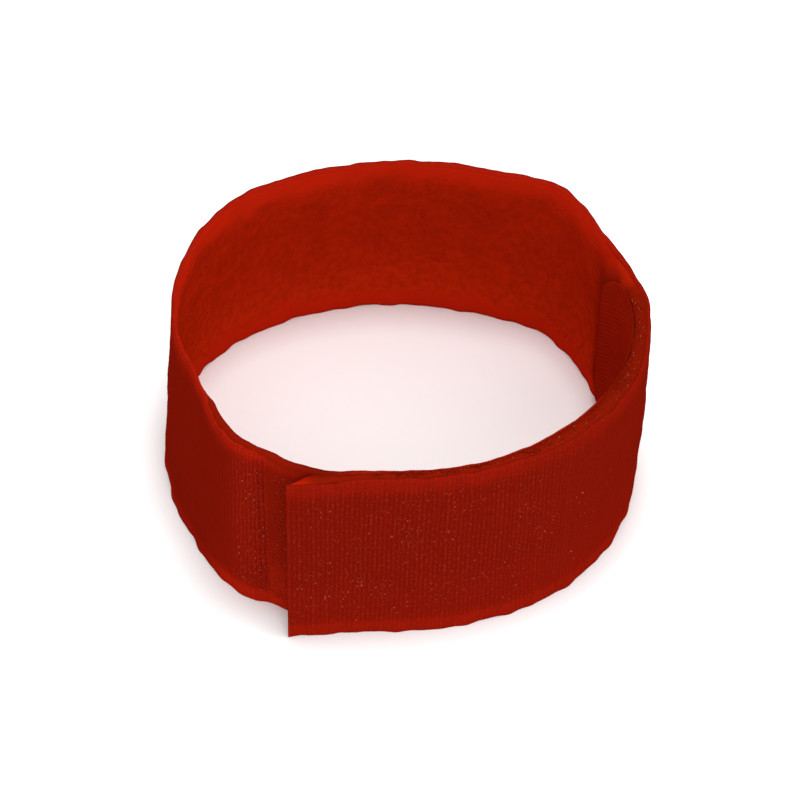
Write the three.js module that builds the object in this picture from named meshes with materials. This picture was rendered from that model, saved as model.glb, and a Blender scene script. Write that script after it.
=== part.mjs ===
// A marking band of hook-and-loop tape, wound into a ring and standing on its long edge.
// Millimetres, +Z up. The closing end faces the front, -Y. The origin is on the floor, in the
// middle of the box around the ring.
import * as THREE from 'three';

// Driving dimensions
const TAPE_WIDTH = 40;
const TAPE_THICK = 1;
const HOOK_CORNER_RADIUS = 8;
const CORNER_STEPS = 5;
const LOOP_STATIONS = 150;
const HOOK_STATIONS = 70;

// Where the faces of each tape lie, measured outwards from the surface that its plan describes
const LOOP_FACES = { outer: 0, inner: -TAPE_THICK };
const HOOK_FACES = { outer: TAPE_THICK, inner: 0 };

// Where each tape starts and ends, as azimuths at its lower and upper edge, because the cuts
// slant. The loop tape starts at its free outer end, goes once round and ends at the seam. The
// hook tape starts behind that seam and ends as a free tongue with rounded corners.
const LOOP_ENDS = {
  start: { lower: -23.6, upper: -26.2 },
  end: { lower: 327.5, upper: 324 },
  cornerRadius: 0,
};
const HOOK_ENDS = {
  start: { lower: 301, upper: 301 },
  end: { lower: 477.6, upper: 478.2 },
  cornerRadius: HOOK_CORNER_RADIUS,
};

// The loop tape's outer face in plan: its radius at the lower and the upper edge, by azimuth in
// degrees from the front towards the right
const LOOP_PLAN = [
  { azimuth: -30, lower: 46.0, upper: 45.0 },
  { azimuth: -25, lower: 43.8, upper: 42.7 },
  { azimuth: -20, lower: 41.6, upper: 40.6 },
  { azimuth: -15, lower: 39.5, upper: 38.5 },
  { azimuth: -10, lower: 38.1, upper: 37.0 },
  { azimuth: -5, lower: 37.2, upper: 36.2 },
  { azimuth: 0, lower: 36.6, upper: 35.7 },
  { azimuth: 12, lower: 36.3, upper: 35.2 },
  { azimuth: 25, lower: 36.4, upper: 35.6 },
  { azimuth: 38, lower: 37.1, upper: 36.5 },
  { azimuth: 50, lower: 38.1, upper: 38.2 },
  { azimuth: 62, lower: 39.2, upper: 39.6 },
  { azimuth: 75, lower: 40.6, upper: 41.1 },
  { azimuth: 88, lower: 41.5, upper: 42.0 },
  { azimuth: 98, lower: 42.1, upper: 42.4 },
  { azimuth: 105, lower: 42.2, upper: 42.7 },
  { azimuth: 113, lower: 41.7, upper: 41.8 },
  { azimuth: 124, lower: 41.4, upper: 41.5 },
  { azimuth: 130, lower: 42.1, upper: 41.8 },
  { azimuth: 137, lower: 43.1, upper: 42.6 },
  { azimuth: 143, lower: 43.7, upper: 43.5 },
  { azimuth: 147, lower: 43.9, upper: 43.3 },
  { azimuth: 151, lower: 43.6, upper: 42.4 },
  { azimuth: 160, lower: 42.3, upper: 40.7 },
  { azimuth: 172, lower: 41.4, upper: 39.5 },
  { azimuth: 185, lower: 41.1, upper: 39.3 },
  { azimuth: 200, lower: 41.1, upper: 39.4 },
  { azimuth: 209, lower: 41.5, upper: 39.8 },
  { azimuth: 220, lower: 42.0, upper: 41.2 },
  { azimuth: 230, lower: 42.7, upper: 42.0 },
  { azimuth: 245, lower: 42.9, upper: 42.8 },
  { azimuth: 258, lower: 42.4, upper: 42.5 },
  { azimuth: 270, lower: 41.8, upper: 42.0 },
  { azimuth: 280, lower: 41.1, upper: 41.5 },
  { azimuth: 291, lower: 40.6, upper: 41.1 },
  { azimuth: 298, lower: 40.1, upper: 41.1 },
  { azimuth: 303, lower: 40.2, upper: 41.5 },
  { azimuth: 308, lower: 40.7, upper: 42.0 },
  { azimuth: 314, lower: 40.9, upper: 42.2 },
  { azimuth: 320, lower: 40.3, upper: 41.7 },
  { azimuth: 325, lower: 39.3, upper: 40.9 },
  { azimuth: 332, lower: 38.2, upper: 39.9 },
];

// The hook tape's inner face, its plain back, measured the same way
const HOOK_PLAN = [
  { azimuth: 294, lower: 37.6, upper: 38.4 },
  { azimuth: 302, lower: 37.7, upper: 38.9 },
  { azimuth: 307, lower: 38.2, upper: 39.5 },
  { azimuth: 314, lower: 38.5, upper: 39.8 },
  { azimuth: 320, lower: 37.9, upper: 39.3 },
  { azimuth: 325, lower: 36.7, upper: 38.4 },
  { azimuth: 331, lower: 36.3, upper: 38.0 },
  { azimuth: 336, lower: 36.0, upper: 37.3 },
  { azimuth: 340, lower: 35.7, upper: 36.8 },
  { azimuth: 345, lower: 35.2, upper: 35.6 },
  { azimuth: 350, lower: 34.8, upper: 34.6 },
  { azimuth: 355, lower: 34.4, upper: 33.8 },
  { azimuth: 360, lower: 34.1, upper: 33.3 },
  { azimuth: 372, lower: 33.9, upper: 32.8 },
  { azimuth: 385, lower: 34.0, upper: 33.2 },
  { azimuth: 398, lower: 34.5, upper: 33.6 },
  { azimuth: 410, lower: 35.0, upper: 34.4 },
  { azimuth: 422, lower: 35.8, upper: 35.7 },
  { azimuth: 435, lower: 37.0, upper: 37.1 },
  { azimuth: 448, lower: 38.1, upper: 38.5 },
  { azimuth: 460, lower: 38.9, upper: 39.2 },
  { azimuth: 470, lower: 38.7, upper: 38.8 },
  { azimuth: 480, lower: 37.6, upper: 37.3 },
  { azimuth: 488, lower: 36.8, upper: 36.2 },
];

// The plan table as a function: a point of the tape's surface from its azimuth and height
function tapeSurface(plan) {
  const azimuths = plan.map((row) => row.azimuth);
  const radii = plan.flatMap((row) => [row.lower, row.upper]);
  const radiiAt = new THREE.CubicInterpolant(azimuths, radii, 2);
  return (azimuth, height) => {
    const [lower, upper] = radiiAt.evaluate(azimuth);
    const radius = THREE.MathUtils.lerp(lower, upper, height / TAPE_WIDTH);
    const angle = THREE.MathUtils.degToRad(azimuth);
    return new THREE.Vector3(radius * Math.sin(angle), -radius * Math.cos(angle), height);
  };
}

// A point of one of the tape's faces, moved level and straight out of the surface by an offset
function facePoint(surface, azimuth, height, offset) {
  const step = 0.5;
  const along = surface(azimuth + step, height).sub(surface(azimuth - step, height));
  const outward = new THREE.Vector3(along.y, -along.x, 0).normalize();
  return surface(azimuth, height).addScaledVector(outward, offset);
}

// How far a rounded corner takes the end back at a height, in millimetres along the tape
function cornerCut(radius, height) {
  const beyondCentre = Math.max(radius - height, height - (TAPE_WIDTH - radius), 0);
  return radius - Math.sqrt(radius ** 2 - beyondCentre ** 2);
}

// The azimuths between which the tape runs at a height
function reachAt(surface, ends, height) {
  const share = height / TAPE_WIDTH;
  const start = THREE.MathUtils.lerp(ends.start.lower, ends.start.upper, share);
  const end = THREE.MathUtils.lerp(ends.end.lower, ends.end.upper, share);
  const spot = surface(end, height);
  const cut = cornerCut(ends.cornerRadius, height) / Math.hypot(spot.x, spot.y);
  return { start, end: end - THREE.MathUtils.radToDeg(cut) };
}

// Heights for a section: the two edges, the middle and, for rounded corners, steps round the arcs
function sectionHeights(cornerRadius) {
  const steps = cornerRadius > 0 ? CORNER_STEPS : 0;
  const heights = [0];
  for (let k = 1; k <= steps; k += 1) {
    heights.push(cornerRadius * (1 - Math.cos((k / steps) * (Math.PI / 2))));
  }
  const upper = heights.map((height) => TAPE_WIDTH - height).reverse();
  return [...heights, TAPE_WIDTH / 2, ...upper];
}

// A closed solid of the tape: at each station one ring of points, up the outer face and down the
// inner face, joined to the next ring and capped at both ends
function tapeGeometry(plan, ends, faces, stations) {
  const surface = tapeSurface(plan);
  const heights = sectionHeights(ends.cornerRadius);
  const ring = [
    ...heights.map((height) => ({ height, offset: faces.outer })),
    ...heights.map((height) => ({ height, offset: faces.inner })).reverse(),
  ];
  const positions = [];
  for (let station = 0; station < stations; station += 1) {
    for (const { height, offset } of ring) {
      const { start, end } = reachAt(surface, ends, height);
      const azimuth = THREE.MathUtils.lerp(start, end, station / (stations - 1));
      positions.push(...facePoint(surface, azimuth, height, offset).toArray());
    }
  }
  const indices = [];
  const quad = (a, b, c, d) => indices.push(a, b, c, a, c, d);
  for (let station = 0; station + 1 < stations; station += 1) {
    const here = station * ring.length;
    const next = here + ring.length;
    for (let k = 0; k < ring.length; k += 1) {
      const above = (k + 1) % ring.length;
      quad(here + k, next + k, next + above, here + above);
    }
  }
  const last = (stations - 1) * ring.length;
  for (let k = 0; k + 1 < heights.length; k += 1) {
    const across = ring.length - 1 - k;
    quad(k, k + 1, across - 1, across);
    quad(last + k, last + across, last + across - 1, last + k + 1);
  }
  const geometry = new THREE.BufferGeometry();
  geometry.setAttribute('position', new THREE.Float32BufferAttribute(positions, 3));
  geometry.setIndex(indices);
  geometry.computeVertexNormals();
  return geometry;
}

function tapeMesh(name, geometry, colour, roughness) {
  const material = new THREE.MeshStandardMaterial({ color: colour, roughness, metalness: 0 });
  const mesh = new THREE.Mesh(geometry, material);
  mesh.name = name;
  return mesh;
}

const loopGeometry = tapeGeometry(LOOP_PLAN, LOOP_ENDS, LOOP_FACES, LOOP_STATIONS);
const hookGeometry = tapeGeometry(HOOK_PLAN, HOOK_ENDS, HOOK_FACES, HOOK_STATIONS);

const band = new THREE.Group();
band.add(tapeMesh('loop_strap', loopGeometry, 0x9c1206, 0.85));
band.add(tapeMesh('hook_tape', hookGeometry, 0x7a0d05, 0.7));

const box = new THREE.Box3().setFromObject(band);
const middle = box.getCenter(new THREE.Vector3());
band.position.set(-middle.x, -middle.y, -box.min.z);

export default band;
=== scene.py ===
"""A marking band of red hook-and-loop tape, wound into a ring and standing on its edge."""
import math

import bpy
import numpy as np
from mathutils import Matrix, Vector


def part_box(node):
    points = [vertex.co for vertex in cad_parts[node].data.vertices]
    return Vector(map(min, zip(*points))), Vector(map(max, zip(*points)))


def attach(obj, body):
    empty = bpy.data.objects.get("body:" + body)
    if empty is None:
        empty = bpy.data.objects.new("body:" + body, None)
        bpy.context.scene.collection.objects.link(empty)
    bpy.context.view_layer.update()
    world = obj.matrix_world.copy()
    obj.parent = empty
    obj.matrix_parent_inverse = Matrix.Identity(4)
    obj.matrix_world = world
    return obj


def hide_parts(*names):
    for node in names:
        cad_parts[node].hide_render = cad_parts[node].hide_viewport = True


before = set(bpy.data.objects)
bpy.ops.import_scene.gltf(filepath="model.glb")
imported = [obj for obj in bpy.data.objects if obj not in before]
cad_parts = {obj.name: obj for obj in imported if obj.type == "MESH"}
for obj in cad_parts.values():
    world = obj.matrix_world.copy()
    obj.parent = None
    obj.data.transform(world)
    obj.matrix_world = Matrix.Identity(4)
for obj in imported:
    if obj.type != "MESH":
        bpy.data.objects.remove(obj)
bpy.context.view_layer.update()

MM = 0.001

# The tapes, in millimetres
WIDTH = 40.0
LOOP_CLOTH = 0.9
SELVEDGE = 3.0
HOOK_SELVEDGE = 2.3
CORNER_RADIUS = 8.0
# The ribs across the strap, and the weft that crosses them
RIB_PITCH = 0.83
RIB_DEPTH = 0.11
WEFT_PITCH = 0.52
# The fine ribs on the hook tape's back: how far each goes along the tape for a millimetre up it,
# and the length of that slanting step
BACK_RIB_PITCH = 0.88
BACK_RIB_DEPTH = 0.045
BACK_RIB_LEAN = 1.55
BACK_RIB_STEP = 1.845

# The plan of each tape, as in the CAD to within a millimetre: azimuth from the front towards the
# right, in degrees, and the radius of the described face at the lower and at the upper edge
PLAN_COLUMNS = [("azimuth", float), ("lower", float), ("upper", float)]
LOOP_PLAN = [
    (-30, 46.0, 45.4), (-25, 43.8, 43.2), (-20, 41.6, 41.2), (-15, 39.5, 39.1),
    (-10, 38.1, 37.6), (-5, 37.2, 36.7), (0, 36.6, 36.1), (12, 36.3, 35.4),
    (25, 36.4, 35.6), (38, 37.3, 36.5), (50, 38.4, 38.2), (62, 39.4, 39.6),
    (75, 40.6, 41.1), (88, 41.5, 42.0), (98, 42.1, 42.4), (105, 42.2, 42.8),
    (113, 41.7, 42.0), (124, 41.4, 41.6), (130, 42.1, 42.0), (137, 43.1, 42.9),
    (143, 43.7, 43.7), (147, 43.9, 43.5), (151, 43.6, 42.6), (160, 42.3, 40.8),
    (172, 41.4, 39.6), (185, 41.1, 39.4), (200, 41.1, 39.5), (209, 41.5, 40.0),
    (220, 42.0, 41.2), (230, 42.7, 42.3), (245, 42.9, 42.8), (258, 42.4, 42.5),
    (270, 41.8, 42.0), (280, 41.1, 41.4), (291, 40.6, 40.3), (298, 40.1, 40.3),
    (303, 40.2, 41.0), (308, 40.5, 41.9), (314, 40.5, 42.2), (320, 40.1, 41.7),
    (325, 39.3, 40.9), (332, 38.2, 39.9),
]
HOOK_PLAN = [
    (294, 37.6, 38.4), (302, 37.7, 38.9), (307, 38.2, 39.5), (314, 38.5, 39.8),
    (320, 37.9, 39.3), (325, 36.7, 38.4), (331, 36.3, 38.0), (336, 36.0, 37.3),
    (340, 35.7, 36.8), (345, 35.2, 35.6), (350, 34.8, 34.6), (355, 34.4, 33.8),
    (360, 34.1, 33.3), (372, 33.9, 32.8), (385, 34.0, 33.2), (398, 34.5, 33.6),
    (410, 35.0, 34.4), (422, 35.8, 35.7), (435, 37.0, 37.1), (448, 38.1, 38.5),
    (460, 38.9, 39.2), (470, 38.7, 38.8), (480, 37.6, 37.3), (488, 36.8, 36.2),
]
# How far the hook tape's outer face stands out from its inner face, by azimuth
HOOK_FACE = [(334, 1.6), (342, 1.3), (350, 0.9), (358, 0.5), (440, 0.5), (462, 0.35), (490, 0.35)]
# How deep the hook tape's outer face lies below the loop strap's where the two are joined, and
# the azimuths over which it then comes away from that level
JOINED_DEPTH = 0.74
LEAVING = (329.0, 338.0)
# Azimuths of the cut ends, at the lower and at the upper edge
LOOP_START, LOOP_END = (-23.6, -26.2), (327.7, 325.2)
HOOK_START, HOOK_END = (298.0, 297.8), (477.6, 478.2)
# Lengths at a tape's start and at its end over which the lines across it slant as its cuts do,
# and how quickly the slant grows towards the cut
SLANT_AT_START, SLANT_AT_END = 45.0, 14.0
SLANT_POWER = 1.5
# How many places the length of a tape is measured at
LENGTH_STATIONS = 1500


def smoothstep(low, high, x):
    share = np.clip((x - low) / (high - low), 0, 1)
    return share * share * (3 - 2 * share)


def falloff(low, high, x):
    return 1 - smoothstep(low, high, x)


def waves(seed, wavelengths, amplitudes):
    """A smooth function of length that wanders about nought."""
    phases = np.random.default_rng(seed).uniform(0, 2 * np.pi, len(wavelengths))

    def wander(x):
        parts = zip(wavelengths, amplitudes, phases)
        return sum(size * np.sin(2 * np.pi * x / length + phase) for length, size, phase in parts)

    return wander


def rough_field(seed, shape, spacing, size):
    """A smooth random field of unit spread on a grid, whose lumps are about size across."""
    sizes_in_blur = 2.5
    noise = np.random.default_rng(seed).standard_normal(shape)
    along = np.fft.fftfreq(shape[0], spacing[0])[:, None]
    across = np.fft.fftfreq(shape[1], spacing[1])[None, :]
    blur = np.exp(-2 * (np.pi * size / sizes_in_blur) ** 2 * (along ** 2 + across ** 2))
    field = np.fft.ifft2(np.fft.fft2(noise) * blur).real
    return field / field.std()


def edge_distance(height):
    return np.minimum(height, WIDTH - height)


def corner_cut(radius, height):
    """How far a rounded corner draws a tape's end back at a height."""
    beyond = np.clip(np.maximum(radius - height, height - (WIDTH - radius)), 0, radius)
    return radius - np.sqrt(radius ** 2 - beyond ** 2)


class Tape:
    """A tape standing on its edge: where a length along it, a height and an offset lie in space."""

    def __init__(self, plan, start, end, corner=0.0):
        rows = np.array(plan, dtype=PLAN_COLUMNS)
        self.azimuths = rows["azimuth"]
        self.radii = np.stack([rows["lower"], rows["upper"]], -1)
        secants = np.diff(self.radii, axis=0) / np.diff(self.azimuths)[:, None]
        middle = (secants[1:] + secants[:-1]) / 2
        self.slopes = np.concatenate([secants[:1], middle, secants[-1:]])
        self.start, self.end, self.corner = start, end, corner
        self.shift = np.zeros(3)
        self.table_azimuth = np.linspace(sum(start) / 2, sum(end) / 2, LENGTH_STATIONS)
        line = self.face(self.table_azimuth, WIDTH / 2)
        steps = np.linalg.norm(np.diff(line, axis=0), axis=1)
        self.table_length = np.concatenate([[0], np.cumsum(steps)])
        self.length = self.table_length[-1]

    def radius(self, azimuth, height):
        """The plan's radius, on a smooth curve through its rows."""
        row = np.clip(np.searchsorted(self.azimuths, azimuth, side="right") - 1, 0, len(self.azimuths) - 2)
        span = self.azimuths[row + 1] - self.azimuths[row]
        t = ((azimuth - self.azimuths[row]) / span)[..., None]
        span = span[..., None]
        near, far = self.radii[row], self.radii[row + 1]
        value = (near * (1 + 2 * t) * (1 - t) ** 2 + far * t * t * (3 - 2 * t)
                 + self.slopes[row] * span * t * (1 - t) ** 2
                 - self.slopes[row + 1] * span * t * t * (1 - t))
        return value[..., 0] + (value[..., 1] - value[..., 0]) * height / WIDTH

    def face(self, azimuth, height):
        """Points of the described face."""
        azimuth = np.asarray(azimuth, float)
        height = np.asarray(height, float) + 0 * azimuth
        radius = self.radius(azimuth, height)
        angle = np.radians(azimuth)
        return np.stack([radius * np.sin(angle), -radius * np.cos(angle), height], -1) + self.shift

    def azimuth(self, along, height):
        """The azimuth of a length along the tape. Near both ends the lines across it slant as the cuts do."""
        middle = np.interp(along, self.table_length, self.table_azimuth)
        lean = 1 - 2 * height / WIDTH
        from_start = np.clip(1 - along / SLANT_AT_START, 0, 1) ** SLANT_POWER
        from_end = np.clip(1 - (self.length - along) / SLANT_AT_END, 0, 1) ** SLANT_POWER
        return (middle + lean * from_start * (self.start[0] - self.start[1]) / 2
                + lean * from_end * (self.end[0] - self.end[1]) / 2)

    def rounded(self, along, height):
        """The length along the tape, drawn back near the end so that its corners are round."""
        zone = 1.5 * self.corner
        cut = corner_cut(self.corner, height)
        into = np.clip(along - (self.length - zone), 0, None)
        return np.where(into > 0, self.length - zone + into * (zone - cut) / zone, along)

    def axes(self, along, height):
        """At each place the directions along the tape, up it and out of it."""
        step = 0.5
        azimuth = self.azimuth(along, height)
        run = self.face(azimuth + step, height) - self.face(azimuth - step, height)
        run[..., 2] = 0
        run /= np.linalg.norm(run, axis=-1, keepdims=True)
        out = np.stack([run[..., 1], -run[..., 0], 0 * run[..., 0]], -1)
        up = np.zeros_like(run)
        up[..., 2] = 1
        return run, up, out

    def place(self, along, height, offset):
        """Points of the tape, in millimetres."""
        given = (np.asarray(value, float) for value in (along, height, offset))
        along, height, offset = np.broadcast_arrays(*given)
        along = self.rounded(along, height) if self.corner else along
        out = self.axes(along, height)[2]
        return self.face(self.azimuth(along, height), height) + out * offset[..., None]


loop = Tape(LOOP_PLAN, LOOP_START, LOOP_END)
hook = Tape(HOOK_PLAN, HOOK_START, HOOK_END, corner=CORNER_RADIUS)


def centre_on_frame():
    """Moves the plan as the CAD does, so that the ring's box is centred where the frame's is."""
    stations = 3000
    along = np.linspace(0, loop.length, stations)[:, None]
    ring = loop.place(along, np.array([[0.0, WIDTH / 2, WIDTH]]), 0.0).reshape(-1, 3)
    low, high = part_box("loop_strap")
    middle = (np.array(low) + np.array(high)) / 2 / MM
    shift = middle - (ring.min(0) + ring.max(0)) / 2
    for tape in (loop, hook):
        tape.shift = np.array([shift[0], shift[1], 0])


centre_on_frame()


# Meshes

# Millimetres in one unit of the texture coordinates
UV_UNIT = 100


def make_object(name, points, faces, material, smooth=True, uv=None, values=None):
    """A mesh object at the origin. points are in millimetres; uv and values are per point."""
    mesh = bpy.data.meshes.new(name)
    faces = np.asarray(faces)
    mesh.vertices.add(len(points))
    mesh.vertices.foreach_set("co", (np.asarray(points) * MM).astype(np.float32).ravel())
    sides = faces.shape[1]
    mesh.loops.add(faces.size)
    mesh.loops.foreach_set("vertex_index", faces.astype(np.int32).ravel())
    mesh.polygons.add(len(faces))
    mesh.polygons.foreach_set("loop_start", np.arange(0, faces.size, sides, dtype=np.int32))
    mesh.polygons.foreach_set("use_smooth", np.full(len(faces), smooth))
    mesh.update(calc_edges=True)
    if uv is not None:
        layer = mesh.uv_layers.new(name="tape")
        layer.data.foreach_set("uv", np.asarray(uv, np.float32)[faces.ravel()].ravel())
    for key, value in (values or {}).items():
        attribute = mesh.attributes.new(key, "FLOAT", "POINT")
        attribute.data.foreach_set("value", np.asarray(value, np.float32).ravel())
    mesh.validate()
    mesh.materials.append(material)
    piece = bpy.data.objects.new(name, mesh)
    bpy.context.collection.objects.link(piece)
    return piece


def zipper(first, second, first_height, second_height):
    """Triangles between two lines of points that run side by side."""
    i, k, made = 0, 0, []
    while i + 1 < len(first) or k + 1 < len(second):
        step_first = k + 1 == len(second) or (
            i + 1 < len(first) and first_height[i + 1] <= second_height[k + 1])
        if step_first:
            made.append((first[i], first[i + 1], second[k]))
            i += 1
        else:
            made.append((first[i], second[k + 1], second[k]))
            k += 1
    return made


def closed_sheet(outer, inner):
    """Points and triangles of a sheet from its two faces, each a grid of stations by heights.

    The faces may have different numbers of heights. The ring of points at a station runs up the
    outer face and down the inner face."""
    stations, up_count = outer.shape[:2]
    ring = np.concatenate([outer, inner[:, ::-1]], axis=1)
    index = np.arange(stations * ring.shape[1]).reshape(stations, -1)
    a, b = index[:-1], index[1:]
    c, d = np.roll(b, -1, 1), np.roll(a, -1, 1)
    walls = [np.stack(corners, -1).reshape(-1, 3) for corners in ((a, b, c), (a, c, d))]
    caps = []
    for station, turn in ((0, 1), (stations - 1, -1)):
        made = zipper(index[station, :up_count], index[station, up_count:][::-1],
                      outer[station, :, 2], inner[station, :, 2])
        caps += [face[::turn] for face in made]
    return ring.reshape(-1, 3), np.concatenate([*walls, np.array(caps)])


class SheetGrid:
    """The grid of a closed sheet of tape: stations along it, and heights up each of its faces."""

    def __init__(self, along, outer_heights, inner_heights):
        self.along, self.outer_heights, self.inner_heights = along, outer_heights, inner_heights

    def ring(self, outer, inner):
        """Values for the ring of points at each station, from those of the outer and inner face."""
        outer = outer + 0 * (self.along + self.outer_heights)
        inner = inner + 0 * (self.along + self.inner_heights)
        return np.concatenate([outer, inner[:, ::-1]], axis=1)

    def make(self, name, outer, inner, material, **values):
        """The sheet's object from the points of its faces. Each value is a pair, one for each face."""
        points, faces = closed_sheet(outer, inner)
        places = (self.ring(self.along, self.along), self.ring(self.outer_heights, self.inner_heights))
        uv = np.stack(places, -1).reshape(-1, 2) / UV_UNIT
        values = {key: self.ring(*pair) for key, pair in values.items()}
        return make_object(name, points, faces, material, uv=uv, values=values)


def edged_heights(near_edge, middle):
    """Heights from edge to edge, those near both edges given by their distance from it."""
    near_edge = np.array(near_edge)
    return np.concatenate([near_edge, middle, WIDTH - near_edge[::-1]])[None]


def bent_paths(foot, across, rise, outline):
    """Paths of many filaments from one outline, whose points are shares of across and of rise."""
    return np.stack([foot + across * x + rise * y for x, y in outline], 1)


def tubes(paths, radius, sides):
    """Closed tubes along many short paths at once. paths is tubes by points by 3, radius per point."""
    count, steps = paths.shape[:2]
    tiny = 1e-12
    tangent = np.gradient(paths, axis=1)
    tangent /= np.linalg.norm(tangent, axis=-1, keepdims=True) + tiny
    chord = paths[:, -1] - paths[:, 0]
    bulge = paths[:, steps // 2] - (paths[:, 0] + paths[:, -1]) / 2
    flat = np.cross(chord, bulge)
    flat /= np.linalg.norm(flat, axis=-1, keepdims=True) + tiny
    side = np.broadcast_to(flat[:, None], tangent.shape)
    other = np.cross(tangent, side)
    turn = np.arange(sides) * 2 * np.pi / sides
    circle = side[:, :, None] * np.cos(turn)[:, None] + other[:, :, None] * np.sin(turn)[:, None]
    thickness = np.broadcast_to(radius, (count, steps))[:, :, None, None]
    points = paths[:, :, None] + circle * thickness
    index = np.arange(count * steps * sides).reshape(count, steps, sides)
    a, b = index[:, :-1], index[:, 1:]
    a_next, b_next = np.roll(a, -1, 2), np.roll(b, -1, 2)
    walls = [np.stack(corners, -1).reshape(-1, 3) for corners in ((a, a_next, b_next), (a, b_next, b))]
    first, last = index[:, 0], index[:, -1]
    ends = []
    for k in range(1, sides - 1):
        ends.append(np.stack([first[:, 0], first[:, k + 1], first[:, k]], -1))
        ends.append(np.stack([last[:, 0], last[:, k], last[:, k + 1]], -1))
    return points.reshape(-1, 3), np.concatenate(walls + ends)


# Materials

# How much of the light the dye lets back, against the screen colours that are given below
DYE_DEPTH = 0.8


def srgb(red, green, blue):
    """A linear colour from screen values of 0 to 255, darkened by the depth of the dye."""
    shares = (value / 255 for value in (red, green, blue))
    return tuple(DYE_DEPTH * (((s + 0.055) / 1.055) ** 2.4 if s > 0.04 else s / 12.92) for s in shares)


class Nodes:
    """A material's nodes, with a call for each kind that the tapes use."""

    def __init__(self, name, roughness, specular):
        self.material = bpy.data.materials.new(name)
        self.material.use_nodes = True
        self.tree = self.material.node_tree
        self.shader = self.tree.nodes["Principled BSDF"]
        self.shader.inputs["Roughness"].default_value = roughness
        self.shader.inputs["Specular IOR Level"].default_value = specular

    def add(self, kind, **settings):
        node = self.tree.nodes.new(kind)
        for key, value in settings.items():
            setattr(node, key, value)
        return node

    def link(self, source, target):
        if isinstance(source, (int, float)):
            target.default_value = source
        elif isinstance(source, tuple):
            target.default_value = (*source, 1)[:len(target.default_value)]
        else:
            self.tree.links.new(source, target)

    def math(self, operation, first, second=0.0):
        node = self.add("ShaderNodeMath", operation=operation)
        self.link(first, node.inputs[0])
        self.link(second, node.inputs[1])
        return node.outputs[0]

    def mix(self, share, first, second):
        node = self.add("ShaderNodeMix", data_type="RGBA")
        self.link(share, node.inputs["Factor"])
        self.link(first, node.inputs["A"])
        self.link(second, node.inputs["B"])
        return node.outputs["Result"]

    def between(self, value, low, high, to_low=0.0, to_high=1.0):
        node = self.add("ShaderNodeMapRange", interpolation_type="SMOOTHSTEP")
        for key, number in (("From Min", low), ("From Max", high), ("To Min", to_low), ("To Max", to_high)):
            node.inputs[key].default_value = number
        self.link(value, node.inputs["Value"])
        return node.outputs["Result"]

    def scaled(self, place, scale):
        node = self.add("ShaderNodeMapping")
        node.inputs["Scale"].default_value = scale
        self.link(place, node.inputs["Vector"])
        return node.outputs[0]

    def tape_place(self, across=1.0):
        """Millimetres along and across the tape, the latter times a factor that draws the pattern out."""
        place = self.add("ShaderNodeUVMap", uv_map="tape")
        return self.scaled(place.outputs[0], (UV_UNIT, UV_UNIT * across, 1))

    def object_place(self, per_mm=1.0):
        place = self.add("ShaderNodeTexCoord")
        return self.scaled(place.outputs["Object"], (per_mm / MM,) * 3)

    def height_on_tape(self, place):
        separate = self.add("ShaderNodeSeparateXYZ")
        self.link(place, separate.inputs[0])
        return separate.outputs["Y"]

    def noise(self, place, scale, detail=2.0, roughness=0.5):
        node = self.add("ShaderNodeTexNoise")
        node.inputs["Scale"].default_value = scale
        node.inputs["Detail"].default_value = detail
        node.inputs["Roughness"].default_value = roughness
        self.link(place, node.inputs["Vector"])
        return node.outputs["Fac"]

    def attribute(self, name):
        return self.add("ShaderNodeAttribute", attribute_name=name).outputs["Fac"]

    def bump(self, height, distance, strength):
        node = self.add("ShaderNodeBump")
        node.inputs["Strength"].default_value = strength
        node.inputs["Distance"].default_value = distance * MM
        self.link(height, node.inputs["Height"])
        self.link(node.outputs[0], self.shader.inputs["Normal"])

    def colour(self, value):
        self.link(value, self.shader.inputs["Base Color"])

    def roughness(self, value):
        self.link(value, self.shader.inputs["Roughness"])


def ribbed_cloth(name, groove, ridge, light, plain, inside):
    """Woven tape: ridges lighter than grooves, whose darker colour is painted shade, with light specks that
    are painted glints, and smooth selvedges.

    The mesh says where it is plain, and inside is the colour that the plain parts then turn to."""
    nodes = Nodes(name, roughness=0.85, specular=0.0)
    place = nodes.tape_place()
    specks = nodes.noise(nodes.tape_place(across=0.8), 2.1, 1.0, 0.4)
    mottle = nodes.noise(place, 0.22, 3.0, 0.6)
    grain = nodes.noise(place, 4.0, 2.0, 0.6)
    streaks = nodes.noise(nodes.tape_place(across=0.12), 1.6, 2.0, 0.6)
    turns = nodes.math("MULTIPLY", nodes.height_on_tape(place), 2 * math.pi / WEFT_PITCH)
    weft = nodes.math("SINE", turns)
    rib, inside_share = nodes.attribute("rib"), nodes.attribute("inside")
    # Between groove and ridge colour by the rib value; where it follows the ribs, the grooves' darker colour
    # is painted shade
    colour = nodes.mix(rib, groove, ridge)
    # Painted glints: light specks on the ridges over the hooks
    glint_share = nodes.math("MULTIPLY", nodes.between(specks, 0.52, 0.68), nodes.attribute("hooked"))
    colour = nodes.mix(nodes.math("MULTIPLY", rib, glint_share), colour, light)
    colour = nodes.mix(nodes.between(mottle, 0.40, 0.62, 0.0, 0.22), colour, groove)
    bright = nodes.mix(inside_share, plain, inside)
    streaked = nodes.math("MULTIPLY", nodes.between(streaks, 0.42, 0.62, 0.0, 0.4),
                          nodes.math("SUBTRACT", 1.0, inside_share))
    selvedge = nodes.mix(streaked, bright, ridge)
    colour = nodes.mix(nodes.attribute("plain"), colour, selvedge)
    nodes.colour(nodes.mix(nodes.between(grain, 0.35, 0.75, 0.0, 0.25), colour, light))
    nodes.roughness(nodes.between(grain, 0.2, 0.8, 0.75, 0.95))
    height = nodes.math("ADD", nodes.math("MULTIPLY", weft, 0.3), grain)
    nodes.bump(height, distance=0.04, strength=0.7)
    return nodes.material


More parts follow.
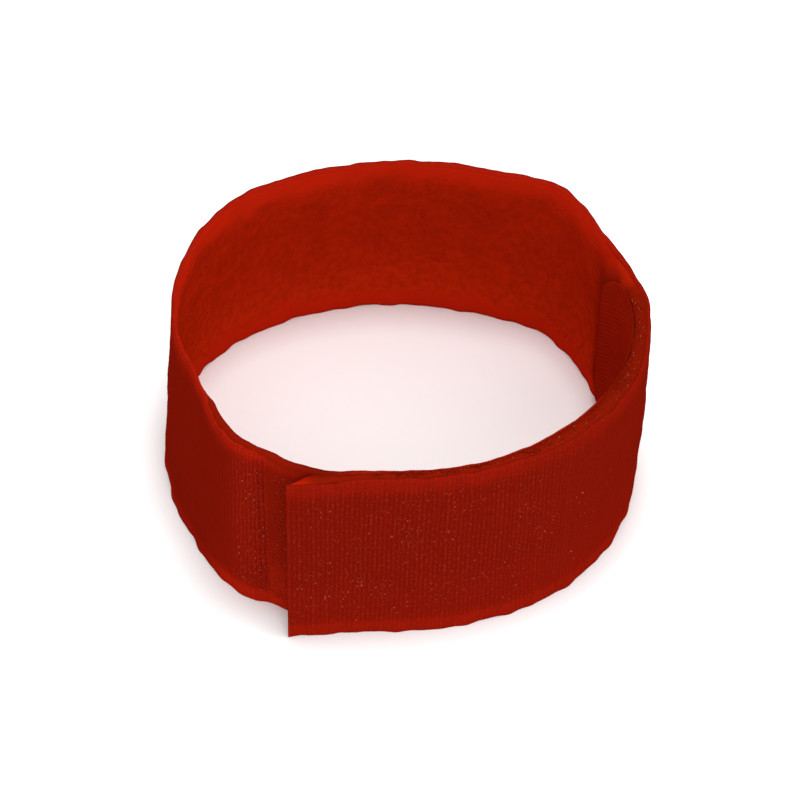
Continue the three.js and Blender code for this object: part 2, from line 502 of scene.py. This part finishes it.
def pile_cloth():
    """The fleecy bed of the loop face: mottled at several sizes, lighter at its edges, lighter low down with
    painted light from the floor, and darkened with painted shade where it is pressed.
    """
    nodes = Nodes("loop_pile_bed", roughness=0.95, specular=0.0)
    place = nodes.tape_place()
    broad = nodes.noise(place, 0.16, 3.0, 0.6)
    tufts = nodes.noise(nodes.tape_place(across=0.7), 0.75, 2.0, 0.5)
    fine = nodes.noise(place, 1.6, 3.0, 0.6)
    # Painted light from the floor: the bed is lighter low down
    low = nodes.between(nodes.height_on_tape(place), 0, 24, 0.75, 0.0)
    colour = nodes.mix(nodes.between(broad, 0.36, 0.66), srgb(170, 31, 5), srgb(182, 34, 6))
    colour = nodes.mix(low, colour, srgb(206, 44, 9))
    colour = nodes.mix(nodes.between(tufts, 0.40, 0.62, 0.38, 0.0), colour, srgb(150, 26, 3))
    colour = nodes.mix(nodes.between(fine, 0.42, 0.70, 0.0, 0.2), colour, srgb(196, 40, 12))
    colour = nodes.mix(nodes.attribute("plain"), colour, srgb(200, 35, 10))
    # Painted shade, with some of the pressed pile's own darker tone, where the pile is pressed
    nodes.colour(nodes.mix(nodes.attribute("deep"), colour, srgb(118, 20, 4)))
    nodes.roughness(nodes.between(fine, 0.2, 0.8, 0.85, 0.98))
    nodes.bump(fine, distance=0.05, strength=0.5)
    return nodes.material


def filament(name, dark, light, roughness, specular, streaks):
    """Short plastic filaments, each a slightly different red, with streaks so many to a millimetre."""
    nodes = Nodes(name, roughness, specular)
    island = nodes.add("ShaderNodeNewGeometry").outputs["Random Per Island"]
    streak = nodes.noise(nodes.object_place(), streaks)
    colour = nodes.mix(nodes.math("MULTIPLY", island, island), dark, light)
    nodes.colour(nodes.mix(nodes.between(streak, 0.35, 0.7, 0.0, 0.4), colour, dark))
    nodes.roughness(nodes.between(streak, 0.3, 0.7, roughness * 0.8, roughness * 1.2))
    return nodes.material


def floor_material():
    nodes = Nodes("floor_paint", roughness=0.9, specular=0.1)
    tone = nodes.noise(nodes.object_place(per_mm=0.01), 0.4, 3.0)
    nodes.colour(nodes.mix(tone, (0.93, 0.93, 0.93), (0.96, 0.96, 0.96)))
    return nodes.material


CLOTH_RED = ribbed_cloth("loop_tape_back", groove=srgb(113, 14, 3), ridge=srgb(128, 18, 4),
                         light=srgb(150, 38, 24), plain=srgb(156, 23, 8), inside=srgb(200, 33, 10))
# The hook tape's inside colour is the painted shade on its rims
HOOK_RED = ribbed_cloth("hook_tape_cloth", groove=srgb(127, 19, 5), ridge=srgb(182, 33, 9),
                        light=srgb(150, 34, 16), plain=srgb(144, 23, 7), inside=srgb(106, 15, 3))
PILE_RED = pile_cloth()
LOOP_RED = filament("loop_filaments", srgb(172, 32, 6), srgb(190, 40, 10),
                    roughness=0.8, specular=0.0, streaks=0.5)
EDGE_RED = filament("edge_filaments", srgb(118, 20, 5), srgb(166, 36, 15),
                    roughness=0.8, specular=0.0, streaks=0.5)
# The lighter pinks of the hooks and their ends are partly the plastic's own colour and partly painted
# highlight
HOOK_PLASTIC = filament("hook_filaments", srgb(140, 32, 18), srgb(182, 68, 50),
                        roughness=0.5, specular=0.02, streaks=0.8)
TIP_PLASTIC = filament("hook_tip_filaments", srgb(146, 38, 24), srgb(196, 84, 66),
                       roughness=0.5, specular=0.02, streaks=0.8)


# How the strap wanders

lower_edge_wave = waves(3, (37.0, 19.0, 8.3, 4.4, 2.3), (0.10, 0.09, 0.09, 0.07, 0.05))
upper_edge_wave = waves(4, (41.0, 21.0, 9.1, 4.9, 2.6), (0.10, 0.09, 0.07, 0.05, 0.03))
slow_wave = waves(5, (33.0, 14.0, 7.7), (0.08, 0.05, 0.04))
lower_ripple = waves(6, (11.3, 6.7, 4.1), (0.11, 0.10, 0.06))
upper_ripple = waves(7, (13.1, 7.3, 4.3), (0.08, 0.055, 0.035))
# How far the strap bows out on the right, in the middle of its height
BOW = 0.4


def ripple(along, height):
    """How far the strap bows in and out, along its selvedges and, on the right, in its middle."""
    azimuth = loop.azimuth(along, height)
    right = smoothstep(68, 84, azimuth) * falloff(106, 120, azimuth)
    return (lower_ripple(along) * falloff(0, 6, height)
            + upper_ripple(along) * falloff(0, 6, WIDTH - height)
            + BOW * right * 4 * height * (WIDTH - height) / WIDTH ** 2)


def frayed_height(along, height):
    """The height, moved a little near both edges, because the selvedges aren't quite straight."""
    near_lower = falloff(0, 5, height)
    near_upper = falloff(0, 5, WIDTH - height)
    at_free_end = falloff(0, 4, np.abs(along))
    return (height + near_lower * np.clip(0.5 * lower_edge_wave(along), 0, None)
            + near_upper * (upper_edge_wave(along) - 0.35 * at_free_end))


# The loop strap's cloth

SAMPLES_PER_RIB = 6
# More ribs than the strap has
RIBS_DRAWN = 600
# Over this length the strap thins down to its end at the seam, and its outer face comes in so far
SEAM_TAPER = 3.0
SEAM_DEPTH = 0.76
# How light the strap's lower selvedge is, by the length along it: its own plainer colour and painted light
# from the floor
LOW_SELVEDGE = [(0, 0.64), (34, 0.70), (52, 0.55), (90, 0.5), (234, 0.34), (243, 1.0)]


def rib_profile(along, height):
    """0 in the grooves to 1 on the ridges, and how strong each rib is."""
    strength = np.random.default_rng(11).uniform(0.6, 1.0, RIBS_DRAWN)
    bend = 0.04 * np.sin(height * 0.21 + 0.13 * along)
    phase = (along + bend) / RIB_PITCH
    rib = np.clip(np.floor(phase).astype(int), 0, RIBS_DRAWN - 1)
    return np.sin(np.pi * phase) ** 2, strength[rib]


def loop_strap_cloth():
    """The strap's woven cloth: ribbed on its outer face, and smooth inside, where the pile stands."""
    stations = int(round(loop.length / RIB_PITCH)) * SAMPLES_PER_RIB + 1
    along = np.linspace(0, loop.length, stations)[:, None]
    heights = edged_heights((0, 0.25, 0.8, 1.7, 2.6), np.linspace(3.6, WIDTH - 3.6, 20))
    inner_heights = edged_heights((0, 0.25, 0.8, 3.0), (12.0, 28.0))
    edge, inner_edge = edge_distance(heights), edge_distance(inner_heights)
    # The ribs stand out more over the hooks, which are by the seam and in the closure
    by_seam = smoothstep(loop.length - 9.0, loop.length - 5.0, along)
    over_hooks = np.maximum(by_seam, falloff(40.0, 62.0, along))
    ribs_show = 0.6 + 0.4 * over_hooks
    rib, strength = rib_profile(along, heights)
    # The ribs are full between the selvedges, which are uneven, and narrower on the left
    uneven = waves(12, (6.1, 2.7, 1.3), (0.25, 0.2, 0.2))(along)
    border = SELVEDGE - 1.6 - 0.8 * smoothstep(212, 232, along)
    field = 0.35 + 0.65 * smoothstep(border, SELVEDGE + 1.2, edge + uneven)
    thinning = smoothstep(loop.length - SEAM_TAPER, loop.length, along)
    ribs_out = RIB_DEPTH * ribs_show * (rib * strength - 0.9) * field * smoothstep(0.3, 2.5, edge)
    sway = slow_wave(along + 1.7 * heights) * smoothstep(0, 6, edge) + ripple(along, heights)
    outer_offset = (ribs_out * (1 - thinning) - 0.10 * falloff(0, 0.5, edge)
                    - SEAM_DEPTH * thinning + 0.06 + sway * (1 - thinning))
    outer = loop.place(along, heights, outer_offset)
    outer[..., 2] = frayed_height(along, heights)
    inner_offset = (-LOOP_CLOTH + 0.06 * falloff(0, 0.5, inner_edge)
                    + ripple(along, inner_heights) * (1 - thinning))
    inner = loop.place(along, inner_heights, inner_offset)
    inner[..., 2] = frayed_height(along, inner_heights)
    shade = (0.5 + (rib * strength - 0.5) * ribs_show) * (1 + 1.6 * by_seam)
    # The selvedges are plainer by the free end and at the back than on the right and left
    selvedge_share = 0.85 - 0.4 * smoothstep(34, 48, along) * falloff(92, 108, along)
    selvedge_share = selvedge_share - 0.1 * smoothstep(214, 230, along)
    plain = (1 - field) * selvedge_share + 0.5 * falloff(0.0, 0.5, along) + 0.3 * by_seam * rib
    # The lower selvedge is lightest by the seam, and the cloth above it in front is lighter too, both with
    # painted light from the floor
    low = falloff(2.2, 5.2, heights) * np.interp(along, *zip(*LOW_SELVEDGE))
    floor_light = 0.2 * falloff(5, 18, heights) * (falloff(66, 90, along) + smoothstep(232, 242, along))
    plain = np.clip(np.maximum(np.maximum(plain, 0.8 * low), floor_light), 0, 1)
    inner_plain = 0.3 + 0.7 * smoothstep(88, 108, along)
    # Past the closure the outer face is lighter just below its upper edge, and the inner face all
    # over, but neither right at the edge
    from_top = WIDTH - heights
    upper_rim = (0.1 + 0.6 * smoothstep(0, 0.24, from_top)) * falloff(0.3, 1.4, from_top)
    rim = upper_rim * smoothstep(92, 108, along) + 0.6 * low
    lining = (0.2 + 0.8 * smoothstep(0, 0.24, inner_edge)) * (smoothstep(90, 108, along) * 0.85 + 0.15)
    return SheetGrid(along, heights, inner_heights).make(
        "loop_strap_cloth", outer, inner, CLOTH_RED, rib=(np.clip(shade, 0, 1), 0.5),
        plain=(plain, inner_plain), inside=(rim, lining), hooked=(0.15 + 0.95 * over_hooks, 0))


# The loop strap's pile

PILE_BED = 0.2
PILE_MARGIN = 0.5
PILE_STEP = 0.42
PILE_HEIGHTS = 112
# Azimuths over which the strap comes down onto the hooks, in its middle and along its upper edge
CLOSING, CLOSING_ABOVE = (-20.0, -11.0), (-27.0, -19.0)
# The strap's radius by the end of the tongue, how far past that end the pile still slopes away
# from the hook tape, and how far past it the pile still looks pressed, darkened with painted shade
TONGUE_RADIUS = 41.0
PILE_RISE = (-0.8, 6.0)
SHADED_PAST = 8.5
LOOP_PARTS = 3
LOOPS_EACH = 4400
LOOPS_MARGIN = 3.4
LOOPS_SUNK = 0.11
EDGE_LOOPS = 700
EDGE_HOOKS = 64
EDGE_HOOK_HEIGHT = 0.8
# The outlines of a loop of filament and of a stray hook, as shares of their span and height
LOOP_OUTLINE = ((-0.5, 0.0), (-0.42, 0.75), (0.12, 1.05), (0.50, 0.55), (0.36, 0.0))
EDGE_HOOK_OUTLINE = ((-0.5, -0.2), (-0.35, 0.35), (0.0, 0.52), (0.30, 0.45), (0.5, 0.15))


def past_tongue(along, height):
    """The distance along the strap beyond the end of the tongue inside it."""
    beyond = loop.azimuth(along, height) + 360 - sum(HOOK_END) / 2
    return np.radians(beyond) * TONGUE_RADIUS + corner_cut(CORNER_RADIUS, height)


def squeezed(along, height):
    """1 where the pile is pressed into the hooks and fills the gap to the hook tape, and that gap."""
    azimuth = loop.azimuth(along, height)
    along_hook = np.interp(azimuth + 360, hook.table_azimuth, hook.table_length)
    above = smoothstep(*CLOSING_ABOVE, azimuth) * smoothstep(WIDTH - 5, WIDTH - 1.5, height)
    closed = np.maximum(smoothstep(*CLOSING, azimuth), above)
    closed = closed * falloff(*PILE_RISE, past_tongue(along, height))
    between = loop.radius(azimuth, height) - hook.radius(azimuth + 360, height)
    return closed, between - hook_face(along_hook, height)


def loop_strap_pile():
    """The bed of the pile: a thin lumpy sheet on the inner face that thins out towards the selvedges."""
    along = np.arange(0.4, loop.length - 0.3, PILE_STEP)[:, None]
    closed_edge = squeezed(along, WIDTH - 1.0)[0]
    margin = PILE_MARGIN * (1 - closed_edge)
    heights = margin + (WIDTH - 2 * margin) * np.linspace(0, 1, PILE_HEIGHTS)[None]
    back_heights = margin + (WIDTH - 2 * margin) * np.array([0.0, 0.5, 1.0])[None]
    shape, spacing = heights.shape, (PILE_STEP, WIDTH / PILE_HEIGHTS)
    lumps = (0.35 * rough_field(21, shape, spacing, 0.9) + 0.6 * rough_field(22, shape, spacing, 2.6)
             + 0.35 * rough_field(23, shape, spacing, 9.0))
    uneven = 0.7 * rough_field(24, shape, spacing, 3.0)
    ends = np.minimum(along - along[0], along[-1] - along)
    from_edge = np.minimum(edge_distance(heights) - margin, ends + 0.5)
    # The bed's rim sinks into the cloth, and squeezed pile reaches across to the hook tape
    closed, gap = squeezed(along, heights)
    bed = smoothstep(0, 4.2, from_edge) * (PILE_BED + 0.05 * lumps)
    sunk = 0.07 * falloff(0, 0.3, from_edge) - 0.02
    reach = np.clip(gap - LOOP_CLOTH - bed - 0.05, 0, None)
    offset = -LOOP_CLOTH + sunk - bed - closed * smoothstep(0, 0.35, from_edge) * reach
    inner = loop.place(along, heights, offset + ripple(along, heights))
    # Between the tapes the squeezed pile swells up a little above their upper edges
    crown = smoothstep(0, 0.36, from_edge) * falloff(0.36, 1.8, from_edge)
    swelling = closed * (0.08 * lumps + 0.1 + 0.28 * crown)
    inner[..., 2] += smoothstep(WIDTH - 2.0, WIDTH - 1.0, heights) * swelling
    back = loop.place(along, back_heights, -LOOP_CLOTH + 0.15 + ripple(along, back_heights))
    fade = falloff(0.8, 7.6, from_edge + PILE_MARGIN + uneven)
    # Past the tongue's end the pile is still pressed down; there and in the closure it is darker, partly its
    # pressed tone and partly painted shade
    past = past_tongue(along, heights) + 0.5 * uneven
    deep = np.where(past < 0, closed, 0.9 * falloff(0, SHADED_PAST, past))
    deep = deep * (0.9 + 0.1 * smoothstep(48, 74, along))
    return SheetGrid(along, back_heights, heights).make(
        "loop_strap_pile", back, inner, PILE_RED, plain=(1, fade), deep=(0.85 * closed_edge, deep))


def slot_place(along, height, share):
    """Places between the strap's cloth and the hook tape, a share of the way from the first."""
    gap = squeezed(along, height)[1]
    return loop.place(along, height, -LOOP_CLOTH - share * np.clip(gap - LOOP_CLOTH, 0.2, None))


def standing_loops():
    """Loops that stand up out of the squeezed pile along the closure's upper edge."""
    draw = np.random.default_rng(71)
    along = draw.uniform(12.0, 91.0, EDGE_LOOPS)
    height = WIDTH - draw.uniform(-0.08, 0.12, EDGE_LOOPS)
    run, up, out = loop.axes(along, height)
    foot = slot_place(along, height, draw.uniform(0.05, 0.95, EDGE_LOOPS))
    turn = draw.uniform(0, 2 * np.pi, EDGE_LOOPS)[:, None]
    across = run * np.cos(turn) + out * np.sin(turn) * 0.6
    rise = up + 0.3 * run * draw.normal(0, 1, (EDGE_LOOPS, 1))
    span = draw.uniform(0.25, 0.6, (EDGE_LOOPS, 1))
    tall = draw.uniform(0.04, 0.10, (EDGE_LOOPS, 1))
    paths = bent_paths(foot, across * span, rise * tall, LOOP_OUTLINE)
    points, faces = tubes(paths, radius=0.09, sides=4)
    return make_object("loop_strap_edge_loops", points, faces, EDGE_RED, smooth=False)


def stray_hooks():
    """Stray hooks that show between the two tapes along the closure's upper edge."""
    draw = np.random.default_rng(72)
    along = 14.0 + 76.0 * draw.beta(1.8, 1.0, EDGE_HOOKS)
    height = np.full(EDGE_HOOKS, WIDTH - 0.22)
    run, up, out = loop.axes(along, height)
    foot = slot_place(along, height, draw.uniform(0.1, 0.9, EDGE_HOOKS))
    turn = draw.uniform(0, 2 * np.pi, EDGE_HOOKS)[:, None]
    across = run * np.cos(turn) + out * np.sin(turn) * 0.5
    span = draw.uniform(0.25, 0.5, (EDGE_HOOKS, 1))
    paths = bent_paths(foot, across * span, up * EDGE_HOOK_HEIGHT, EDGE_HOOK_OUTLINE)
    points, faces = tubes(paths, radius=np.array([0.09, 0.085, 0.08, 0.075, 0.05]), sides=5)
    return make_object("hook_tape_edge_hooks", points, faces, TIP_PLASTIC)


def pile_loops(part):
    """Small loops of filament that stand on the pile's bed, over one part of the strap's length."""
    share = loop.length / LOOP_PARTS
    draw = np.random.default_rng(61 + part)
    along = draw.uniform(0.6 + part * share * 0.99, (part + 1) * share * 0.99, LOOPS_EACH)
    height = LOOPS_MARGIN + draw.beta(1.2, 1.2, LOOPS_EACH) * (WIDTH - 2 * LOOPS_MARGIN)
    run, up, out = loop.axes(along, height)
    turn = draw.uniform(0, 2 * np.pi, LOOPS_EACH)[:, None]
    across = run * np.cos(turn) + up * np.sin(turn)
    tilt = draw.normal(0, 0.35, (LOOPS_EACH, 1))
    lean = run * -np.sin(turn) + up * np.cos(turn)
    rise = -out * np.cos(tilt) + lean * np.sin(tilt)
    span = draw.uniform(0.30, 0.85, (LOOPS_EACH, 1))
    tall = draw.uniform(0.04, 0.10, (LOOPS_EACH, 1))
    bed = PILE_BED * smoothstep(0, 3.2, edge_distance(height) - PILE_MARGIN)
    foot = loop.place(along, height, -LOOP_CLOTH - bed + LOOPS_SUNK + ripple(along, height))
    paths = bent_paths(foot, across * span, rise * tall, LOOP_OUTLINE)
    points, faces = tubes(paths, radius=0.075, sides=3)
    return make_object(f"loop_strap_loops_{part + 1}", points, faces, LOOP_RED, smooth=False)


# The hook tape

HOOK_STATIONS = 400
BACK_HEIGHTS = 139
# The tape's start thins down over the bevel's length to this thickness
BEVEL_LENGTH = 3.0
BEVEL_THICKNESS = 0.3
# From this azimuth on the hook tape has hooks, past the strap that is joined on at the seam
FIRST_HOOKS = 326.5
HOOK_PITCH_ALONG, HOOK_PITCH_UP = 1.22, 1.12
# A hook's outline, as shares of its size along the tape and out of it, and its radius at each point
HOOK_OUTLINE = ((0, 0), (0.02, 0.34), (0.06, 0.62), (0.20, 0.84), (0.40, 0.86), (0.54, 0.70), (0.57, 0.52))
HOOK_RADIUS = np.array([0.13, 0.125, 0.12, 0.12, 0.115, 0.10, 0.07])
# The ends of hooks that have come through the strap: their outline and radius, and how many are
# drawn, in clusters over the closure and singly by the seam
TIP_OUTLINE = ((-0.18, 0.0), (-0.11, 0.18), (0.02, 0.23), (0.13, 0.18), (0.19, 0.02))
TIP_RADIUS = np.array([0.12, 0.13, 0.13, 0.12, 0.08])
TIP_CLUSTERS, CLOSURE_TIPS, SEAM_TIPS = 120, 360, 70
TIP_MARGIN = 3.4


def hook_face(along, height):
    """The offset of the hook tape's outer face."""
    azimuths, offsets = zip(*HOOK_FACE)
    azimuth = hook.azimuth(along, height)
    seam_end = np.minimum(azimuth, LOOP_END[0] + (LOOP_END[1] - LOOP_END[0]) * height / WIDTH)
    joined = loop.radius(seam_end, height) - hook.radius(seam_end, height) - JOINED_DEPTH
    free = smoothstep(*LEAVING, azimuth)
    return joined * (1 - free) + np.interp(azimuth, azimuths, offsets) * free


def hook_tape_cloth():
    """The tape under the hooks. Fine ribs run slantwise over its plain back."""
    along = np.linspace(0, hook.length, HOOK_STATIONS)[:, None]
    back = np.linspace(0, WIDTH, BACK_HEIGHTS)[None]
    front = edged_heights((0, 0.2, 0.6, 1.6, HOOK_SELVEDGE, 3.4), np.linspace(6, WIDTH - 6, 5))
    edge, front_edge = edge_distance(back), edge_distance(front)
    phase = (BACK_RIB_LEAN * back + along) / BACK_RIB_STEP / BACK_RIB_PITCH + 0.05 * np.sin(along * 0.4)
    rib = np.sin(np.pi * phase) ** 2
    field = smoothstep(0.6, 1.8, edge)
    rounding = 0.12 * falloff(0, 0.5, edge)
    wave = waves(31, (23.0, 9.0), (0.05, 0.03))(along + back)
    bevel = (hook_face(along, back) - BEVEL_THICKNESS) * falloff(0, BEVEL_LENGTH, along)
    inner = hook.place(along, back, BACK_RIB_DEPTH * (0.8 - rib) * field + rounding + wave * field + bevel)
    outer = hook.place(along, front, hook_face(along, front) - 0.04 * falloff(0, 0.5, front_edge))
    # The two tapes' edges wander together where they are joined
    seam_along = np.interp(sum(LOOP_END) / 2, hook.table_azimuth, hook.table_length)
    for face, heights in ((inner, back), (outer, front)):
        face[..., 2] = frayed_height(along + loop.length - seam_along, heights)
    # Painted light: the upper edge is lighter by the seam, and the lower part of the front, towards the
    # floor, is lighter everywhere
    upper_azimuth = hook.azimuth(along, WIDTH)
    by_seam = 0.45 * falloff(328, 344, upper_azimuth)
    top, front_top = (smoothstep(WIDTH - 1.2, WIDTH - 0.4, height) * by_seam for height in (back, front))
    low_front = np.maximum(falloff(2.0, 3.4, front), 0.55 * falloff(5, 15, front))
    front_light = np.maximum(front_top, low_front)
    # The front is plain at its selvedges; lower down it is lighter with painted light from the floor, and
    # higher up by the strap's free end with painted light in the shaded gap under the strap
    azimuth = hook.azimuth(along, front)
    by_flap = smoothstep(328, 336, azimuth) * falloff(350, 372, azimuth)
    gap_light = smoothstep(WIDTH - 9, WIDTH - 2, front) * by_flap
    front_plain = np.maximum(falloff(HOOK_SELVEDGE - 0.8, HOOK_SELVEDGE + 0.5, front_edge), gap_light)
    front_plain = np.maximum(front_plain, 0.9 * falloff(4, 16, front))
    # Both rims are darkened with painted shade, but less so along the front of the closure
    dark = 1 - 0.75 * smoothstep(338, 352, upper_azimuth) + 0.75 * smoothstep(420, 440, upper_azimuth)
    rim, front_rim = (falloff(0.05, 0.4, distance) * dark for distance in (edge, front_edge))
    return SheetGrid(along, front, back).make(
        "hook_tape_cloth", outer, inner, HOOK_RED,
        rib=(front_light, np.maximum(0.28 + 0.38 * rib * field, top)),
        plain=(front_plain * (1 - front_light), (1 - field) * (1 - top)),
        inside=(front_rim, rim), hooked=(0, 0))


def hook_tape_hooks():
    """Rows of stiff hooks, bent along the tape and turned alternately to either side."""
    rows = np.arange(HOOK_SELVEDGE + 0.4, WIDTH - HOOK_SELVEDGE - 0.3, HOOK_PITCH_UP)
    columns = np.arange(0.8, hook.length - 0.7, HOOK_PITCH_ALONG)
    row, column = (v.ravel() for v in np.meshgrid(np.arange(len(rows)), np.arange(len(columns))))
    draw = np.random.default_rng(41)
    along = columns[column] + (row % 2) * HOOK_PITCH_ALONG / 2 + draw.normal(0, 0.13, len(row))
    height = rows[row] + draw.normal(0, 0.13, len(row))
    on_tape = along < hook.length - corner_cut(CORNER_RADIUS, height) - 0.8
    kept = on_tape & (draw.random(len(row)) > 0.06) & (hook.azimuth(along, height) > FIRST_HOOKS)
    along, height, row = along[kept], height[kept], row[kept]
    count = len(along)
    run, up, out = hook.axes(along, height)
    turn = (np.where(row % 2, 0, np.pi) + draw.normal(0, 0.25, count))[:, None]
    over = run * np.cos(turn) + up * np.sin(turn)
    # Hooks by the seam, where the face stands out, are pressed low; the others reach into the pile
    face = hook_face(along, height)
    reach = np.clip((1.55 - face) / 0.95, 0.42, 1)[:, None]
    size = draw.uniform(0.9, 1.08, (count, 1)) * reach
    lean = draw.normal(0, 0.08, (count, 1))
    foot = hook.place(along, height, face - 0.08)
    rise = size * (0.5 + 0.5 * smoothstep(0.42, 0.9, reach))
    path = np.stack([foot + over * size * (x + lean * y) + out * rise * y for x, y in HOOK_OUTLINE], 1)
    points, faces = tubes(path, HOOK_RADIUS, sides=5)
    return make_object("hook_tape_hooks", points, faces, HOOK_PLASTIC)


def hook_tips():
    """Ends of hooks that have come right through the loop strap where it is fastened."""
    draw = np.random.default_rng(51)
    which = draw.integers(0, TIP_CLUSTERS, CLOSURE_TIPS)
    cluster_along = 1.5 + 66 * draw.beta(1.0, 1.7, TIP_CLUSTERS)
    along = cluster_along[which] + draw.integers(-2, 3, CLOSURE_TIPS) * RIB_PITCH
    cluster_height = draw.uniform(4.0, WIDTH - 4.0, TIP_CLUSTERS)
    height = cluster_height[which] + draw.integers(-2, 3, CLOSURE_TIPS) * 1.3
    seam_along = loop.length - 0.6 - 5.4 * draw.beta(1.2, 1.6, SEAM_TIPS)
    seam_height = draw.uniform(3.5, WIDTH - 3.5, SEAM_TIPS)
    along = np.concatenate([along, seam_along])
    height = np.concatenate([height, seam_height])
    # They come up between the strap's ribs
    along = np.round(along / RIB_PITCH) * RIB_PITCH + draw.normal(0, 0.05, len(along))
    kept = (along > 0.6) & (along < loop.length - 0.4) & (edge_distance(height) > TIP_MARGIN)
    along, height = along[kept], height[kept]
    count = len(along)
    run, up, out = loop.axes(along, height)
    turn = draw.normal(np.pi / 2, 0.35, count)[:, None]
    across = run * np.cos(turn) + up * np.sin(turn)
    foot = loop.place(along, height, -0.20)
    size = draw.uniform(0.45, 1.05, (count, 1))
    paths = bent_paths(foot, across * size, out, TIP_OUTLINE)
    points, faces = tubes(paths, TIP_RADIUS * size, sides=5)
    return make_object("loop_strap_hook_tips", points, faces, TIP_PLASTIC)


# The scene

# The photograph's view: its height and roll in degrees, and its distance in millimetres
ELEVATION = 49.0
ROLL = 4.3
DISTANCE = 1800.0
PICTURE = 800
PIXELS_PER_MM = 5.57
SENSOR = 36.0
# The point of the plan, before it is centred, that lies at this pixel
AIM_IN_PLAN = (0.0, 18.5, 0.0)
AIM_PIXEL = (405, 396)
# The place in metres, the width and the power of each lamp, and where they all point
LAMPS = {
    "key": ((0.25, -0.90, 0.70), 0.5, 2.8),
    "fill": ((0.80, -0.10, 0.50), 0.6, 1.0),
    "top": ((0.0, 0.05, 1.1), 0.3, 5.0),
}
LIT_POINT = (0, 0, 0.02)
FLOOR_HALF = 3.0


def make_camera():
    """The photograph's view, from the front and above, with the camera rolled a little."""
    elevation, roll = math.radians(ELEVATION), math.radians(ROLL)
    forward = Vector((0, math.cos(elevation), -math.sin(elevation)))
    level = Vector((1, 0, 0))
    upright = level.cross(forward)
    right = level * math.cos(roll) + upright * math.sin(roll)
    up = -level * math.sin(roll) + upright * math.cos(roll)
    aim = Vector(AIM_IN_PLAN) + Vector(loop.shift)
    off_right = (AIM_PIXEL[0] - PICTURE / 2) / PIXELS_PER_MM
    off_up = (PICTURE / 2 - AIM_PIXEL[1]) / PIXELS_PER_MM
    place = aim - forward * DISTANCE - right * off_right - up * off_up
    data = bpy.data.cameras.new("camera")
    data.sensor_width = SENSOR
    data.lens = SENSOR * PIXELS_PER_MM * DISTANCE / PICTURE
    data.clip_start, data.clip_end = 0.1, 20.0
    camera = bpy.data.objects.new("camera", data)
    bpy.context.collection.objects.link(camera)
    turn = Matrix((right, up, -forward)).transposed().to_4x4()
    camera.matrix_world = Matrix.Translation(place * MM) @ turn
    bpy.context.scene.camera = camera


def make_lamp(name, place, size, power):
    data = bpy.data.lights.new(name, "AREA")
    data.shape = "DISK"
    data.size = size
    data.energy = power
    lamp = bpy.data.objects.new(name, data)
    bpy.context.collection.objects.link(lamp)
    lamp.location = place
    lamp.rotation_mode = "QUATERNION"
    lamp.rotation_quaternion = (Vector(LIT_POINT) - Vector(place)).to_track_quat("-Z", "Y")


def make_stage():
    """A white floor in a white studio, with three lamps."""
    corners = np.array([(-1, -1, 0), (1, -1, 0), (1, 1, 0), (-1, 1, 0)]) * FLOOR_HALF / MM
    floor = make_object("floor", corners, [(0, 1, 2, 3)], floor_material(), smooth=False)
    world = bpy.data.worlds.new("studio")
    world.use_nodes = True
    world.node_tree.nodes["Background"].inputs["Color"].default_value = (1, 1, 1, 1)
    world.node_tree.nodes["Background"].inputs["Strength"].default_value = 1.0
    bpy.context.scene.world = world
    bpy.context.scene.view_settings.view_transform = "Standard"
    for name, (place, size, power) in LAMPS.items():
        make_lamp(name, place, size, power)


make_camera()
make_stage()

strap = loop_strap_cloth()
pile = loop_strap_pile()
tips = hook_tips()
loops = [pile_loops(part) for part in range(LOOP_PARTS)]
loops.append(standing_loops())
tape = hook_tape_cloth()
hooks = hook_tape_hooks()
edge_hooks = stray_hooks()

for piece in [strap, pile, tips, *loops]:
    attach(piece, "root")
for piece in (tape, hooks, edge_hooks):
    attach(piece, "root")
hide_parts("loop_strap")
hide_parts("hook_tape")
